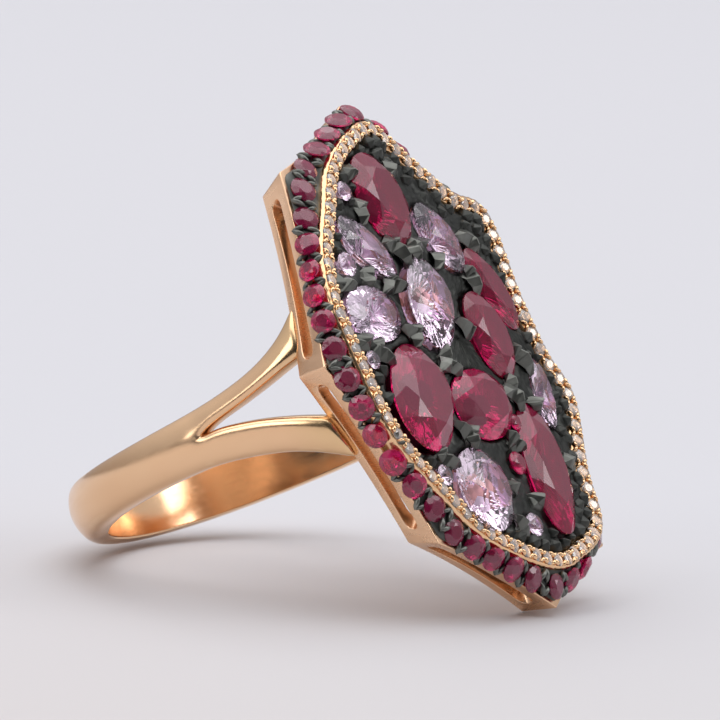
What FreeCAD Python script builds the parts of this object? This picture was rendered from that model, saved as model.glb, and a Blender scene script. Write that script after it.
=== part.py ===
import FreeCAD, Part
import math
import os

# Cocktail ring with a split shank and an eight-cornered jewelled head.
# Ring frame while building, in mm: +U across the finger, +V along the finger,
# +W out through the head, origin at the middle of the finger hole.
# The last step turns the ring to the way it lies and puts it on Z = 0.

V = FreeCAD.Vector

HOLE_R = 8.7            # finger hole radius
RAIL_W = 6.9            # height of the gallery's lower edge
RIM_W = 8.44            # height of the gallery's top rim
PLATE_W = 8.95          # top of the blackened stone plate
CHANNEL_W = 9.15        # flat top of the rose gold diamond channel
WALL_T = 0.85           # gallery wall thickness
CHANNEL_HALF = 0.34     # half the diamond channel's width
SLOT_H = 0.52           # height of a gallery slot
LEAN_DEG = 58.9         # how far the head is tipped over from facing up
BEAD_R = 0.15           # border bead radius
RUBY_D = 0.96           # border ruby diameter
BORDER_COUNT = 45       # rubies round the border
CHANNEL_COUNT = 72      # diamonds round the channel

# Corners of the head's top outline and of its lower edge, (u, v)
TOP_CORNERS = [(0.0, 10.9), (-6.6, 8.2), (-9.3, -0.1), (-6.55, -8.0),
               (0.1, -11.7), (5.75, -9.65), (8.05, -3.0), (7.0, 5.95)]
LOW_CORNERS = [(0.0, 10.4), (-6.04, 7.78), (-8.85, 0.06), (-6.11, -7.38),
               (0.02, -11.21), (5.5, -9.2), (7.75, -2.9), (6.75, 5.7)]
EDGE_BOW = 0.22         # how far each edge bows in at its middle

# Centre line of the diamond channel, (u, v)
CHANNEL = [(0.35, 9.40), (-1.35, 9.12), (-3.86, 7.9), (-5.56, 6.05), (-7.09, 4.16),
           (-7.75, 2.2), (-7.78, 0.8), (-7.72, -0.8), (-7.6, -2.6), (-6.98, -4.3),
           (-5.46, -6.45), (-3.95, -8.08), (-1.57, -9.3), (0.51, -9.91), (2.2, -9.75),
           (4.55, -8.8), (5.35, -6.3), (6.72, -3.3), (6.1, -1.23), (5.95, 1.5),
           (6.14, 5.1), (4.16, 6.05), (1.95, 7.96)]

# Main stones: node, centre (u, v), length, width, turn in degrees, girdle height
STONES = [
    ("ruby_upper", (-1.4, 6.3), 4.1, 3.0, 103, 9.25),
    ("pear_sapphire", (-3.95, 4.35), 3.5, 1.9, -45, 9.2),
    ("oval_sapphire_left", (-5.55, 1.5), 3.7, 2.3, -4, 9.2),
    ("oval_sapphire_centre", (-1.2, 1.6), 4.1, 3.3, 50, 9.35),
    ("ruby_large_left", (-4.7, -2.25), 5.0, 3.8, 45, 9.3),
    ("ruby_centre", (-0.35, -2.95), 3.9, 3.0, 0, 9.25),
    ("round_sapphire", (-2.95, -6.45), 3.6, 3.5, 0, 9.3),
    ("ruby_long_lower", (2.35, -6.1), 5.8, 2.7, 75, 9.25),
    ("ruby_right", (2.45, -0.1), 3.8, 2.5, -76, 9.25),
    ("oval_sapphire_upper", (1.8, 4.4), 3.3, 2.1, -60, 9.25),
    ("ruby_far_right", (4.3, 1.9), 3.9, 1.6, -66, 9.15),
    ("sapphire_far_right", (4.85, -2.85), 3.0, 1.3, 76, 9.15),
]

# Small accent stones: (u, v), diameter
ACCENT_SAPPHIRES = [((-3.95, 6.8), 0.8), ((-6.0, 3.65), 0.95), ((-7.0, -0.38), 0.7),
                    ((-5.45, -5.5), 0.8), ((-0.35, -8.3), 0.95)]
ACCENT_RUBIES = [((0.25, -5.65), 0.95), ((1.45, -3.6), 0.7)]

# Claw clusters between the main stones, (u, v), split into three groups
CLAWS = {
    "claws_upper": [(-3.25, 6.25), (-1.95, 4.35), (-0.6, 4.05), (1.05, 3.6),
                    (2.95, 2.5), (4.0, 4.15), (0.35, 7.6)],
    "claws_middle": [(-3.35, 2.75), (-3.25, 0.35), (-1.75, -1.05), (1.05, 0.25),
                     (4.1, -0.85), (-6.9, 3.05), (-5.0, 3.1)],
    "claws_lower": [(-2.6, -4.2), (2.3, -2.75), (0.75, -4.6), (-0.75, -6.9),
                    (0.4, -7.6), (-5.2, -4.75), (4.25, -6.3)],
}

# Stations round the shank, from the head's edge down to the back: (u, w) on the
# inside face, outward direction, edge and crown thickness, lower and upper v
BACK = [(0, 0.95, 1.25, -1.33, 0.95), (-15, 0.95, 1.25, -1.27, 0.98),
        (-35, 0.95, 1.22, -1.24, 1.05), (-62, 0.92, 1.2, -1.24, 1.18),
        (-90, 0.9, 1.2, -1.25, 1.25)]
LEFT_ARM = [(-7.0, 7.0, 0.66, 1.85, -3.5, 3.35), (-7.55, 5.9, 0.7, 1.5, -2.75, 2.05),
            (-8.0, 4.6, 0.75, 1.3, -2.15, 1.35), (-8.4, 3.0, 0.85, 1.25, -1.72, 1.02),
            (-8.62, 1.5, 0.92, 1.25, -1.45, 0.95)]
RIGHT_ARM = [(6.4, 7.0, 0.95, 1.4, -3.5, 3.35), (7.2, 5.9, 0.9, 1.3, -2.75, 2.05),
             (7.85, 4.6, 0.9, 1.25, -2.15, 1.35), (8.35, 3.0, 0.92, 1.25, -1.72, 1.02),
             (8.62, 1.5, 0.92, 1.25, -1.45, 0.95)]

# Side outline of the opening between the two arms, (v, w)
SPLIT = [(-0.05, 1.84), (-0.3, 3.05), (-0.6, 4.3), (-1.3, 6.1), (-2.0, 7.9),
         (1.05, 7.9), (0.68, 5.6), (0.3, 4.2), (0.08, 3.07)]


def inset(corners, gap):
    """The same closed outline with every edge moved inwards by gap."""
    moved = []
    count = len(corners)
    for i in range(count):
        before = corners[i - 1]
        here = corners[i]
        after = corners[(i + 1) % count]
        n1 = left_normal(before, here)
        n2 = left_normal(here, after)
        scale = gap / (1.0 + n1[0] * n2[0] + n1[1] * n2[1])
        moved.append((here[0] + (n1[0] + n2[0]) * scale, here[1] + (n1[1] + n2[1]) * scale))
    return moved


def left_normal(a, b):
    length = math.hypot(b[0] - a[0], b[1] - a[1])
    return (-(b[1] - a[1]) / length, (b[0] - a[0]) / length)


def bowed_wire(corners, w, bow=EDGE_BOW):
    """Eight arcs between the corners, each bowed in towards the middle."""
    edges = []
    for i in range(len(corners)):
        a = corners[i]
        b = corners[(i + 1) % len(corners)]
        n = left_normal(a, b)
        mid = V((a[0] + b[0]) / 2 + n[0] * bow, (a[1] + b[1]) / 2 + n[1] * bow, w)
        edges.append(Part.Arc(V(a[0], a[1], w), mid, V(b[0], b[1], w)).toShape())
    return Part.Wire(edges)


def octagon_block(low, low_w, top, top_w):
    return Part.makeLoft([bowed_wire(low, low_w), bowed_wire(top, top_w)], True, True)


def smooth_loop(points, w):
    curve = Part.BSplineCurve()
    curve.interpolate([V(p[0], p[1], w) for p in points], PeriodicFlag=True)
    return curve


def loop_wire(points, w):
    return Part.Wire([smooth_loop(points, w).toShape()])


def loop_prism(points, low_w, top_w):
    face = Part.Face(loop_wire(points, low_w))
    return face.extrude(V(0, 0, top_w - low_w))


def channel_loop(gap):
    """The channel's centre line moved inwards by gap."""
    return inset(CHANNEL, gap)


def along_channel(count):
    """Evenly spaced places round the channel, with the direction there."""
    curve = smooth_loop(CHANNEL, CHANNEL_W)
    edge = curve.toShape()
    places = []
    for point in edge.discretize(count + 1)[:count]:
        tangent = V(*curve.tangent(curve.parameter(point))[0])
        places.append((point, tangent))
    return places


def d_section(base, out, edge_t, crown_t, low_v, top_v):
    """Flat inside, low sides and a crowned outside."""
    a = base + V(0, low_v, 0)
    b = base + V(0, top_v, 0)
    c = b + out * edge_t
    d = a + out * edge_t
    crown = base + V(0, (low_v + top_v) / 2, 0) + out * crown_t
    edges = [Part.makeLine(a, b), Part.makeLine(b, c),
             Part.Arc(c, crown, d).toShape(), Part.makeLine(d, a)]
    return Part.Wire(edges)


def split_shank():
    wires = []
    for u, w, edge_t, crown_t, low_v, top_v in LEFT_ARM:
        wires.append(d_section(V(u, 0, w), V(-1, 0, 0), edge_t, crown_t, low_v, top_v))
    half = [(180 - angle, e, c, lo, hi) for angle, e, c, lo, hi in BACK]
    for angle, edge_t, crown_t, low_v, top_v in half + BACK[-2::-1]:
        out = V(math.cos(math.radians(angle)), 0, math.sin(math.radians(angle)))
        wires.append(d_section(out * HOLE_R, out, edge_t, crown_t, low_v, top_v))
    for u, w, edge_t, crown_t, low_v, top_v in RIGHT_ARM[::-1]:
        wires.append(d_section(V(u, 0, w), V(1, 0, 0), edge_t, crown_t, low_v, top_v))
    band = Part.makeLoft(wires, True, False)
    opening = Part.Face(Part.makePolygon([V(-12, v, w) for v, w in SPLIT + SPLIT[:1]]))
    band = band.cut(opening.extrude(V(24, 0, 0)))
    gallery = octagon_block(LOW_CORNERS, RAIL_W, TOP_CORNERS, RIM_W)
    return band.cut(gallery)


def slot(a, b, a_top, b_top):
    """A long narrow opening through one side of the gallery."""
    mid_w = (RAIL_W + RIM_W) / 2
    start = V((a[0] + a_top[0]) / 2, (a[1] + a_top[1]) / 2, mid_w)
    end = V((b[0] + b_top[0]) / 2, (b[1] + b_top[1]) / 2, mid_w)
    run = end - start
    side = V(0, 0, 1).cross(run).normalize()
    length = run.Length * 0.86
    bar = Part.makeBox(length, 4.0, SLOT_H, V(-length / 2, -2.0, -SLOT_H / 2))
    upright = [e for e in bar.Edges if abs(e.tangentAt(e.FirstParameter).y) > 0.99]
    bar = bar.makeFillet(SLOT_H * 0.45, upright)
    turn = FreeCAD.Rotation(run.normalize(), side, V(0, 0, 1), "XYZ")
    bar.Placement = FreeCAD.Placement((start + end) * 0.5, turn)
    return bar


def gallery_frame():
    """Flared eight-sided wall with a slot in each side and a ledge for the plate."""
    outer = octagon_block(LOW_CORNERS, RAIL_W, TOP_CORNERS, RIM_W)
    inner = octagon_block(inset(LOW_CORNERS, WALL_T), RAIL_W - 0.01,
                          inset(TOP_CORNERS, WALL_T), RIM_W + 0.01)
    slots = []
    for i in range(8):
        j = (i + 1) % 8
        slots.append(slot(LOW_CORNERS[i], LOW_CORNERS[j], TOP_CORNERS[i], TOP_CORNERS[j]))
    recess = loop_seat(0.32, RIM_W - 0.25, RIM_W + 0.1)
    return outer.cut(inner).cut(Part.Compound(slots)).cut(recess)


def loop_seat(gap, low_w, top_w):
    corners = inset(TOP_CORNERS, gap)
    return octagon_block(corners, low_w, corners, top_w)


def bevel_solid():
    """The sloping border from the gallery rim up to the channel, as flat facets."""
    base_w = RIM_W - 0.25
    rim = rim_points()
    crest = crest_points()
    loops = [rim, crest, drop(crest, base_w), drop(rim, base_w)]
    faces = []
    for i in range(4):
        a = loops[i]
        b = loops[(i + 1) % 4]
        for k in range(len(a) - 1):
            faces.append(Part.Face(Part.makePolygon([a[k], a[k + 1], b[k], a[k]])))
            faces.append(Part.Face(Part.makePolygon([a[k + 1], b[k + 1], b[k], a[k + 1]])))
    solid = Part.makeSolid(Part.makeShell(faces))
    if solid.Volume < 0:
        solid.reverse()
    return solid


def drop(points, w):
    return [V(p.x, p.y, w) for p in points]


def rim_points():
    return spaced_loop(bowed_wire(inset(TOP_CORNERS, 0.33), RIM_W - 0.02), RIM_W - 0.02)


def crest_points():
    return spaced_loop(loop_wire(channel_loop(-CHANNEL_HALF - 0.03), PLATE_W), PLATE_W)


def spaced_loop(wire, w, steps=6):
    """A closed loop with points on the same rays for every wire."""
    outline = [(p.x, p.y) for p in wire.discretize(400)]
    points = []
    for i in range(8):
        start = math.atan2(TOP_CORNERS[i][1], TOP_CORNERS[i][0])
        end = math.atan2(TOP_CORNERS[(i + 1) % 8][1], TOP_CORNERS[(i + 1) % 8][0])
        sweep = (end - start) % (2 * math.pi)
        for k in range(steps):
            angle = start + sweep * k / steps
            points.append(meet(outline, math.cos(angle), math.sin(angle), w))
    return points + points[:1]


def meet(outline, du, dv, w):
    """Where a ray from the middle crosses a closed outline."""
    best = V(0, 0, w)
    for a, b in zip(outline, outline[1:] + outline[:1]):
        s1 = a[0] * dv - a[1] * du
        s2 = b[0] * dv - b[1] * du
        forward = (a[0] + b[0]) * du + (a[1] + b[1]) * dv > 0
        if s1 * s2 <= 0 and s1 != s2 and forward:
            t = s1 / (s1 - s2)
            best = V(a[0] + (b[0] - a[0]) * t, a[1] + (b[1] - a[1]) * t, w)
    return best


def along_bevel(count):
    """Evenly spaced places half way up the bevel: point, along, up the slope, outward."""
    low = rim_points()
    high = crest_points()
    middle = Part.makePolygon([(a + b) * 0.5 for a, b in zip(low, high)])
    points = middle.discretize(count + 1)[:count]
    places = []
    for i, point in enumerate(points):
        along = (points[(i + 1) % count] - points[i - 1]).normalize()
        ray = V(point.x, point.y, 0).normalize()
        foot = meet([(p.x, p.y) for p in low], ray.x, ray.y, RIM_W - 0.02)
        crest = meet([(p.x, p.y) for p in high], ray.x, ray.y, PLATE_W)
        up_slope = (crest - foot).normalize()
        out = along.cross(up_slope).normalize()
        if out.z < 0:
            out = out * -1
        places.append((point, along, up_slope, out))
    return places


def stacked_octagons(at, out, rings):
    """Eight-sided solid from (radius, height) rings stacked along a direction."""
    across = out.cross(V(0, 0, 1))
    if across.Length < 0.1:
        across = V(1, 0, 0)
    across.normalize()
    other = out.cross(across)
    wires = []
    for radius, height in rings:
        points = []
        for i in range(9):
            angle = math.radians(45 * i + 10)
            spoke = across * math.cos(angle) + other * math.sin(angle)
            points.append(at + spoke * radius + out * height)
        wires.append(Part.makePolygon(points))
    return Part.makeLoft(wires, True, True)


def small_stone(girdle, out, size):
    """Small cut stone: pavilion, girdle, crown and table."""
    return stacked_octagons(girdle, out, [(0.18 * size, -0.26 * size), (0.5 * size, 0),
                                          (0.3 * size, 0.16 * size)])


def border_ruby(foot, out):
    """Cut stone that shows above the slope it is sunk in: base, girdle, crown and table."""
    return stacked_octagons(foot, out, [(0.42 * RUBY_D, 0), (0.5 * RUBY_D, 0.08),
                                        (0.3 * RUBY_D, 0.23)])


def small_bead(foot, out):
    """Rounded bead of metal that holds a border stone."""
    return stacked_octagons(foot, out, [(BEAD_R * 0.9, 0.0), (BEAD_R, 0.05),
                                        (BEAD_R * 0.72, 0.12), (BEAD_R * 0.3, 0.16)])


def oval_ring(length, width, scale, w, sides=20):
    points = []
    for i in range(sides + 1):
        angle = 2 * math.pi * i / sides
        points.append(V(length / 2 * scale * math.cos(angle),
                        width / 2 * scale * math.sin(angle), w))
    return Part.makePolygon(points)


def main_stone(centre, length, width, turn, girdle_w):
    """Faceted oval: table, crown, thin girdle and pavilion."""
    crown_h = 0.13 * width + 0.12
    depth = 0.26 * width + 0.25
    rings = [oval_ring(length, width, 0.12, -depth), oval_ring(length, width, 1.0, -0.06),
             oval_ring(length, width, 1.0, 0.06), oval_ring(length, width, 0.6, crown_h)]
    stone = Part.makeLoft(rings, True, True)
    stone.rotate(V(0, 0, 0), V(0, 0, 1), turn)
    stone.translate(V(centre[0], centre[1], girdle_w))
    return stone


def channel_tops(count):
    """Half beads in pairs and low diamond crowns, turn about, on the channel's flat top."""
    beads = []
    diamonds = []
    for i, (point, along) in enumerate(along_channel(2 * count)):
        across = V(-along.y, along.x, 0).normalize()
        if i % 2 == 0:
            diamonds.append(Part.makeCone(0.22, 0.14, 0.13, point, V(0, 0, 1)))
        else:
            for side in (-0.115, 0.115):
                base = point + across * side
                beads.append(Part.makeSphere(0.11, base, V(0, 0, 1), 0, 90, 360))
    return beads, diamonds


def claw(u, v, turn):
    """Three-sided tapered claw that stands on the plate."""
    rings = []
    for radius, w in ((0.58, PLATE_W), (0.42, PLATE_W + 0.45), (0.12, PLATE_W + 0.85)):
        points = []
        for i in range(4):
            angle = math.radians(turn + 120 * i)
            points.append(V(u + radius * math.cos(angle), v + radius * math.sin(angle), w))
        rings.append(Part.makePolygon(points))
    return Part.makeLoft(rings, True, True)


def diamond_channel():
    outer = loop_prism(channel_loop(-CHANNEL_HALF), RIM_W - 0.25, CHANNEL_W)
    inner = loop_prism(channel_loop(CHANNEL_HALF), RIM_W - 0.3, CHANNEL_W + 0.1)
    return outer.cut(inner)


def build():
    """Every piece of the ring by name, in the ring frame."""
    pieces = {}
    stones = {name: main_stone(*rest) for name, *rest in STONES}
    sapphires = [small_stone(V(c[0], c[1], PLATE_W + 0.12), V(0, 0, 1), size)
                 for c, size in ACCENT_SAPPHIRES]
    rubies = [small_stone(V(c[0], c[1], PLATE_W + 0.12), V(0, 0, 1), size)
              for c, size in ACCENT_RUBIES]
    gems = Part.Compound(list(stones.values()) + sapphires + rubies)

    channel = diamond_channel()
    beads, diamonds = channel_tops(CHANNEL_COUNT)

    border = bevel_solid()
    border_stones = []
    border_beads = []
    for i, (point, along, up_slope, out) in enumerate(along_bevel(2 * BORDER_COUNT)):
        if i % 2 == 0:
            border_stones.append(border_ruby(point, out))
        else:
            for side in (-0.38, 0.38):
                border_beads.append(small_bead(point + up_slope * side, out))

    plate = loop_prism(channel_loop(CHANNEL_HALF), RIM_W - 0.25, PLATE_W).cut(gems)

    pieces["split_shank"] = split_shank()
    pieces["gallery_frame"] = gallery_frame()
    pieces["pave_border"] = border
    pieces["border_rubies"] = Part.Compound(border_stones)
    pieces["border_beads"] = Part.Compound(border_beads)
    pieces["diamond_channel"] = channel
    pieces["channel_diamonds"] = Part.Compound(diamonds)
    pieces["channel_beads"] = Part.Compound(beads)
    pieces["stone_plate"] = plate
    pieces["accent_sapphires"] = Part.Compound(sapphires)
    pieces["accent_rubies"] = Part.Compound(rubies)
    pieces.update(stones)
    for name, spots in CLAWS.items():
        claws = [claw(u, v, 40 * i).cut(gems) for i, (u, v) in enumerate(spots)]
        pieces[name] = Part.Compound(claws)
    return pieces


def lay_down(pieces):
    """Tip the head over to the side it rests on, with the base centre at the origin."""
    for shape in pieces.values():
        shape.rotate(V(0, 0, 0), V(1, 0, 0), LEAN_DEG)
    box = FreeCAD.BoundBox()
    for shape in pieces.values():
        box.add(shape.optimalBoundingBox(False, False))
    shift = V(-box.Center.x, -box.Center.y, -box.ZMin)
    for shape in pieces.values():
        shape.translate(shift)
    print("moved by", shift, "size", box.XLength, box.YLength, box.ZLength)


os.makedirs("parts", exist_ok=True)
ring = build()
lay_down(ring)
for node, shape in ring.items():
    print(node, shape.isValid(), len(shape.Solids), round(shape.Volume, 3))
    shape.exportStep("parts/" + node + ".step")
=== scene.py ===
import math
import random
import bmesh
import bpy
from mathutils import Matrix, Vector


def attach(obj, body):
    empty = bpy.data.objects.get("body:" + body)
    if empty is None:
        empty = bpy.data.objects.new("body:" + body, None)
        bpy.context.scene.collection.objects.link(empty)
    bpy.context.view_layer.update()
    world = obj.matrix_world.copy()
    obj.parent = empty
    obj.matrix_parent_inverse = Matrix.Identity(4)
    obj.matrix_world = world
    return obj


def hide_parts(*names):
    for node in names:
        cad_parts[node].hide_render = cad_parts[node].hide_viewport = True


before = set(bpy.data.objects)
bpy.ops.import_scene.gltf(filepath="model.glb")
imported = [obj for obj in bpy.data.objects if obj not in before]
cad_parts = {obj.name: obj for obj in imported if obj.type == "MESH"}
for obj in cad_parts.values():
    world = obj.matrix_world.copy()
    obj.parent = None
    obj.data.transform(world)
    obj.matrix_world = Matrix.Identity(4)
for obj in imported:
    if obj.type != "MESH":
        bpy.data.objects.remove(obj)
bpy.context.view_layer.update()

# Pieces are shaped in the ring's own frame, in mm: u across the finger, v along
# the finger, w out through the head. RING_TO_FLOOR lays the ring on its side.
MM = 0.001
REST_SHIFT = Vector((0.0, 2.202, 6.035)) * MM
LEAN = math.radians(58.9)
RING_TO_FLOOR = Matrix.Translation(REST_SHIFT) @ Matrix.Rotation(LEAN, 4, "X")

# Heights through the head, and the radius of the finger hole
RAIL_W = 6.9
RIM_W = 8.44
PLATE_W = 8.95
PLATE_UNDER = RIM_W - 0.5
CHANNEL_W = 9.12
HOLE_RADIUS = 8.7

# From here on in u the border and the channel are the far side of the head
FAR_U = 3.0
DIAMOND_COUNT = 72
STEPS_PER_DIAMOND = 6
DEEPEST_PAVILION = 1.24

TOP_CORNERS = [(0.0, 10.9), (-6.6, 8.2), (-9.3, -0.1), (-6.55, -8.0),
               (0.1, -11.7), (5.75, -9.65), (8.05, -3.0), (7.0, 5.95)]
LOW_CORNERS = [(0.0, 10.4), (-6.04, 7.78), (-8.85, 0.06), (-6.11, -7.38),
               (0.02, -11.21), (5.55, -9.3), (7.95, -2.9), (6.9, 5.8)]

CHANNEL_LINE = [(0.35, 9.40), (-1.35, 9.12), (-3.8, 7.85), (-5.46, 6.02), (-6.96, 4.16),
                (-7.72, 2.2), (-7.78, 0.8), (-7.72, -0.8), (-7.6, -2.6), (-6.98, -4.3),
                (-5.46, -6.45), (-3.95, -8.08), (-1.57, -9.3), (0.51, -9.91), (2.2, -9.75),
                (4.55, -8.8), (5.35, -6.3), (6.72, -3.3), (6.1, -1.23), (5.95, 1.5),
                (6.14, 5.1), (4.16, 6.05), (1.95, 7.96)]

# Border rubies in order round the head, from the upper corner by the left side
BORDER_SEATS = [(0.05, 10.3), (-1.25, 10.0), (-2.5, 9.45), (-3.8, 8.85), (-5.05, 8.1),
                (-6.0, 7.2), (-6.6, 6.0), (-7.2, 4.85), (-7.7, 3.8), (-8.15, 2.75),
                (-8.5, 1.65), (-8.55, 0.45), (-8.62, -0.85), (-8.45, -2.1), (-8.1, -3.3),
                (-7.65, -4.5), (-7.05, -5.6), (-6.3, -6.65), (-5.6, -7.75), (-4.7, -8.6),
                (-3.65, -9.2), (-2.5, -9.75), (-1.3, -10.3), (0.1, -10.85), (1.45, -10.75),
                (2.8, -10.35), (4.1, -9.9), (5.3, -9.25), (5.9, -8.1), (6.25, -6.9),
                (6.65, -5.7), (7.15, -4.5), (7.65, -3.2), (7.45, -1.9), (7.2, -0.65),
                (7.1, 0.6), (7.05, 1.85), (7.0, 3.1), (7.0, 4.35), (6.85, 5.6),
                (5.7, 6.35), (4.55, 7.0), (3.45, 7.75), (2.4, 8.6), (1.3, 9.5)]

GEMS = {
    "ruby_upper": dict(at=(-1.4, 6.3), size=(4.2, 3.1), turn=103, up=9.25, tilt=(2, -2)),
    "pear_sapphire": dict(at=(-3.95, 4.3), size=(3.7, 2.05), turn=-45, up=9.25, tilt=(-5, 4),
                          point=0.35),
    "oval_sapphire_left": dict(at=(-5.5, 1.5), size=(3.9, 2.4), turn=-4, up=9.25, tilt=(3, 2)),
    "oval_sapphire_centre": dict(at=(-1.15, 1.6), size=(4.3, 3.4), turn=50, up=9.35,
                                 tilt=(2, 7)),
    "ruby_large_left": dict(at=(-4.7, -2.25), size=(5.15, 3.95), turn=45, up=9.3, tilt=(-2, 3)),
    "ruby_centre": dict(at=(-0.4, -2.95), size=(4.0, 3.1), turn=0, up=9.25, tilt=(1, -2)),
    "round_sapphire": dict(at=(-2.95, -6.45), size=(3.75, 3.6), turn=8, up=9.3, tilt=(1, 2)),
    "ruby_long_lower": dict(at=(2.35, -6.1), size=(6.0, 2.85), turn=75, up=9.25, tilt=(-2, 1)),
    "ruby_right": dict(at=(2.4, -0.1), size=(3.95, 2.7), turn=-76, up=9.25, tilt=(3, 1)),
    "oval_sapphire_upper": dict(at=(1.82, 4.4), size=(3.45, 2.2), turn=-60, up=9.25,
                                tilt=(-2, 3)),
    "ruby_far_right": dict(at=(4.3, 1.9), size=(4.1, 1.8), turn=-64, up=9.15, tilt=(2, 0)),
    "sapphire_far_right": dict(at=(4.85, -2.9), size=(3.2, 1.35), turn=76, up=9.15,
                               tilt=(0, 2)),
}

SMALL_SAPPHIRES = [((-3.95, 6.8), 0.85), ((-6.0, 3.7), 1.05), ((-7.05, -0.38), 0.8),
                   ((-5.4, -5.55), 0.88), ((-0.4, -8.3), 1.0)]
SMALL_RUBIES = [((0.3, -5.65), 1.0), ((1.45, -3.95), 0.7)]

CLAW_SPOTS = {
    "claws_upper": [(-3.2, 6.1), (-1.95, 4.35), (-0.7, 4.1), (1.0, 3.55), (2.85, 2.6),
                    (4.1, 4.2), (0.4, 7.7), (-3.0, 7.6)],
    "claws_middle": [(-3.35, 2.75), (-3.2, 0.45), (-1.75, -0.95), (1.05, 0.2), (3.95, -0.95),
                     (-6.7, 3.0), (-4.9, 3.0), (-6.35, 0.05), (-7.3, 0.3)],
    "claws_lower": [(-2.45, -4.15), (2.35, -2.6), (0.75, -4.75), (-0.8, -6.6), (0.5, -7.4),
                    (-5.1, -4.75), (4.3, -6.0), (-1.3, -8.3), (3.6, -3.4)],
}


# ---------------------------------------------------------------- small tools

def lerp(a, b, t):
    return a + (b - a) * t


def left_of(a, b):
    d = Vector((b[0] - a[0], b[1] - a[1])).normalized()
    return Vector((-d.y, d.x))


def make_piece(name, points, faces, finish, nodes=(), smooth=True):
    """A mesh piece in the ring frame that rides with the ring and stands for CAD nodes."""
    mesh = bpy.data.meshes.new(name)
    mesh.from_pydata([Vector(p) * MM for p in points], [], faces)
    mesh.validate()
    mesh.materials.append(finish)
    mesh.shade_smooth() if smooth else mesh.shade_flat()
    piece = bpy.data.objects.new(name, mesh)
    bpy.context.collection.objects.link(piece)
    piece.matrix_world = RING_TO_FLOOR
    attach(piece, "root")
    for node in nodes:
        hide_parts(node)
    return piece


def soften(piece, width, segments=2, angle=35):
    edge = piece.modifiers.new("soft_edges", "BEVEL")
    edge.width = width * MM
    edge.segments = segments
    edge.limit_method = "ANGLE"
    edge.angle_limit = math.radians(angle)


def subdivide(piece, levels):
    net = piece.modifiers.new("smooth_form", "SUBSURF")
    net.levels = levels
    net.render_levels = levels


def smooth_loop(points, count):
    """count evenly spaced points on a closed smooth curve through the given points."""
    dense = []
    n = len(points)
    for i in range(n):
        p0, p1, p2, p3 = [Vector(points[(i + k - 1) % n]) for k in range(4)]
        for s in range(16):
            t = s / 16
            dense.append(0.5 * (2 * p1 + (p2 - p0) * t + (2 * p0 - 5 * p1 + 4 * p2 - p3) * t * t
                                + (3 * p1 - p0 - 3 * p2 + p3) * t ** 3))
    return evenly(dense, count)


def evenly(loop, count):
    lengths = [0.0]
    closed = loop + loop[:1]
    for a, b in zip(closed, closed[1:]):
        lengths.append(lengths[-1] + (b - a).length)
    spaced = []
    k = 0
    for i in range(count):
        want = lengths[-1] * i / count
        while lengths[k + 1] < want:
            k += 1
        t = (want - lengths[k]) / (lengths[k + 1] - lengths[k])
        spaced.append(closed[k].lerp(closed[k + 1], t))
    return spaced


def offset_loop(loop, gap):
    """The loop moved to its inside by gap, for a loop that runs anticlockwise."""
    moved = []
    n = len(loop)
    for i, p in enumerate(loop):
        side = left_of(loop[i - 1], loop[(i + 1) % n])
        moved.append(Vector(p) + side * gap)
    return moved


def inset(corners, gap):
    moved = []
    n = len(corners)
    for i, here in enumerate(corners):
        n1 = left_of(corners[i - 1], here)
        n2 = left_of(here, corners[(i + 1) % n])
        moved.append(Vector(here) + (n1 + n2) * (gap / (1 + n1.dot(n2))))
    return moved


def side_point(corners, side, t, bow=0.24):
    """A point on one of the eight sides, which bow in slightly between their corners."""
    a = Vector(corners[side % 8])
    b = Vector(corners[(side + 1) % 8])
    return a.lerp(b, t) + left_of(a, b) * (bow * 4 * t * (1 - t))


def outline(corners, per_side, bow=0.24):
    return [side_point(corners, s, k / per_side, bow) for s in range(8) for k in range(per_side)]


def reach(loop, direction):
    """Where a ray from the middle of the head meets a closed loop."""
    best = Vector((0, 0))
    for i, b in enumerate(loop):
        a = loop[i - 1]
        s1 = a.x * direction.y - a.y * direction.x
        s2 = b.x * direction.y - b.y * direction.x
        if s1 * s2 <= 0 and s1 != s2 and (a + b).dot(direction) > 0:
            cross = a.lerp(b, s1 / (s1 - s2))
            if cross.length > best.length:
                best = cross
    return best


def grid_faces(rows, cols, close_rows=False, close_cols=True, start=0):
    faces = []
    for r in range(rows if close_rows else rows - 1):
        for c in range(cols if close_cols else cols - 1):
            a = start + r * cols + c
            b = start + r * cols + (c + 1) % cols
            d = start + ((r + 1) % rows) * cols + c
            e = start + ((r + 1) % rows) * cols + (c + 1) % cols
            faces.append((a, b, e, d))
    return faces


class Heap:
    """Collects many small shapes into one mesh piece."""

    def __init__(self):
        self.points = []
        self.faces = []

    def add(self, points, faces, place=None):
        start = len(self.points)
        self.points += [place @ Vector(p) if place else Vector(p) for p in points]
        self.faces += [tuple(start + i for i in f) for f in faces]


def stand(at, along, out):
    """Matrix with x along, z out and y across, placed at a point."""
    z = out.normalized()
    x = (along - z * along.dot(z)).normalized()
    y = z.cross(x)
    turn = Matrix((x, y, z)).transposed().to_4x4()
    return Matrix.Translation(at) @ turn


# ---------------------------------------------------------------- shared effects

def new_group(name, inputs, outputs):
    group = bpy.data.node_groups.new(name, "ShaderNodeTree")
    for label, kind, value in inputs:
        socket = group.interface.new_socket(label, in_out="INPUT", socket_type=kind)
        socket.default_value = value
    for label, kind in outputs:
        group.interface.new_socket(label, in_out="OUTPUT", socket_type=kind)
    return group, group.nodes.new("NodeGroupInput"), group.nodes.new("NodeGroupOutput")


def add_node(tree, kind, **values):
    node = tree.nodes.new("ShaderNode" + kind)
    for key, value in values.items():
        if hasattr(node, key):
            setattr(node, key, value)
        else:
            node.inputs[key.replace("_", " ")].default_value = value
    return node


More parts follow.
